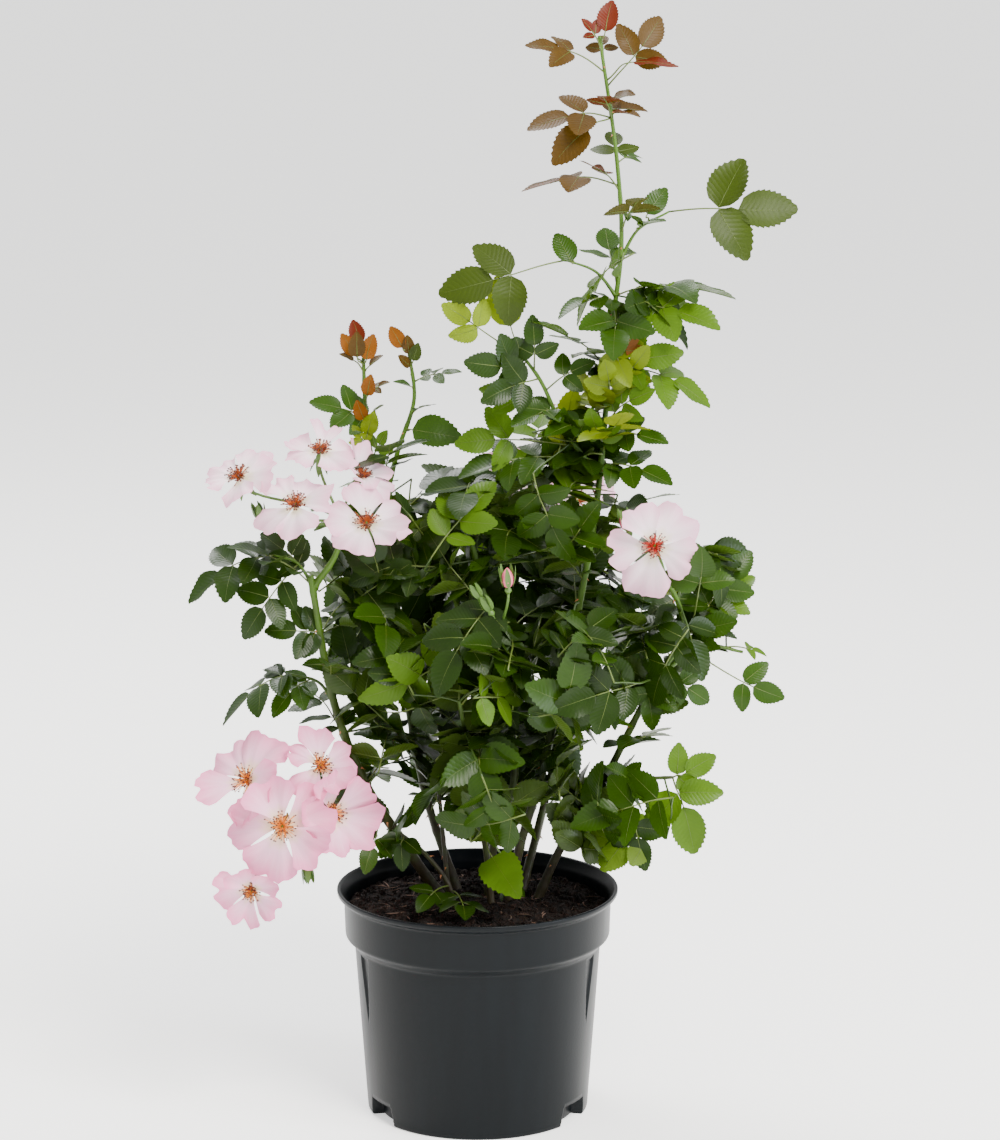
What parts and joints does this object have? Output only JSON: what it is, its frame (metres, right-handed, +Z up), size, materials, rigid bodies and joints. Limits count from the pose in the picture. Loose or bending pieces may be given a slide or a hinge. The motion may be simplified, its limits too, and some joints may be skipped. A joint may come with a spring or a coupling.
{
  "type": "rose bush in a nursery pot",
  "caption": "Shrub rose with green canes, glossy compound leaves, bronze young tips and open pale pink single blooms, standing in a dark round plastic nursery pot.",
  "frame": {"origin": "centre of the pot's flat underside, where the plant stands", "axes": "+Z up along the pot's axis, -Y towards the side where most blooms open, +X towards the lean of the leading cane"},
  "size_m": [0.485, 0.306, 0.893],
  "materials": {
    "pot_plastic": "satin charcoal, blow moulded",
    "potting_compost": "damp and crumbly, with pale fibres",
    "cane_bark": "green bark, brown and striped on the oldest canes",
    "foliage": "glossy dark green leaves with toothed edges",
    "young_foliage": "bronze and yellow-green young leaves with red edges",
    "blossom": "thin pale pink petals, cream at the foot, with orange stamens"
  },
  "bodies": {
    "root": {"pot": "pot_plastic", "soil": "potting_compost", "leading_cane": "cane_bark", "left_cane": "cane_bark", "front_left_stem": "cane_bark", "forked_stem": "cane_bark", "centre_cane": "cane_bark", "front_cane": "cane_bark", "right_cane": "cane_bark", "back_cane": "cane_bark", "back_left_cane": "cane_bark", "back_right_cane": "cane_bark", "upper_left_blossom": "blossom", "lower_left_blossom": "blossom", "right_blossom": "blossom", "back_blossom": "blossom", "leading_tip": "young_foliage", "leading_bronze_leaves": "young_foliage", "left_shoot_leaves": "young_foliage", "right_shoot_leaves": "young_foliage", "tip_of_left_spray": "foliage", "left_drooping_leaves": "foliage", "top_left_spray": "foliage", "top_right_spray": "foliage", "middle_left_leaves": "foliage", "right_tip_leaves": "foliage", "lower_right_spray": "foliage", "rim_leaves": "foliage", "front_low_leaf": "foliage", "soil_leaves": "foliage", "whorl_leaves": "foliage", "upper_leaves": "foliage", "upper_left_leaves": "foliage", "mid_left_leaves": "foliage", "low_left_leaves": "foliage", "upper_centre_leaves": "foliage", "mid_centre_leaves": "foliage", "low_centre_leaves": "foliage", "upper_right_leaves": "foliage", "mid_right_leaves": "foliage", "outer_right_leaves": "foliage", "low_right_leaves": "foliage", "shoulder_leaves": "foliage", "back_left_leaves": "foliage", "back_centre_leaves": "foliage", "back_right_leaves": "foliage", "back_low_leaves": "foliage", "left_leaf_bough": "cane_bark", "left_lower_leaf_bough": "cane_bark", "lower_bloom_bough": "cane_bark", "upper_bloom_bough": "cane_bark", "left_shoot_bough": "cane_bark", "right_shoot_bough": "cane_bark", "mid_leaf_bough": "cane_bark", "upper_left_spray_bough": "cane_bark", "upper_right_spray_bough": "cane_bark", "right_tip_bough": "cane_bark", "right_bloom_bough": "cane_bark", "lower_right_spray_bough": "cane_bark"}
  },
  "joints": []
}
